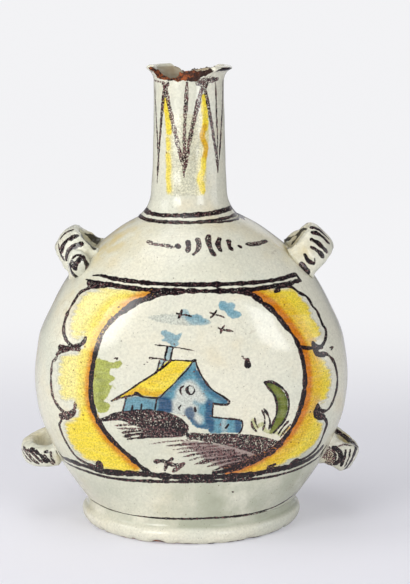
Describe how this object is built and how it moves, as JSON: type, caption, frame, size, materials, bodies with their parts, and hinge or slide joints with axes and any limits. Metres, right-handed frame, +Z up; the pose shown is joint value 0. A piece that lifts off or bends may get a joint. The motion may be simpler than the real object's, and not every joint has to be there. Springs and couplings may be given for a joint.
{
  "type": "pilgrim_flask",
  "caption": "Tin-glazed earthenware pilgrim flask with a flattened round body, foot ring, tall neck with a broken flared lip, and strap loops for a carrying cord",
  "frame": {"origin": "on the ground, under the middle of the foot ring", "axes": "+Z up along the neck, the painted front face looks along -Y, +X towards the loops on the right as seen from the front"},
  "size_m": [0.1689, 0.11, 0.225],
  "materials": {
    "painted_glaze": "glossy",
    "plain_glaze": "glossy",
    "striped_glaze": "glossy"
  },
  "bodies": {
    "root": {"body": "painted_glaze", "neck": "painted_glaze", "foot_ring": "plain_glaze", "upper_left_loop": "striped_glaze", "upper_right_loop": "striped_glaze", "lower_left_loop": "striped_glaze", "lower_right_loop": "striped_glaze"}
  },
  "joints": []
}
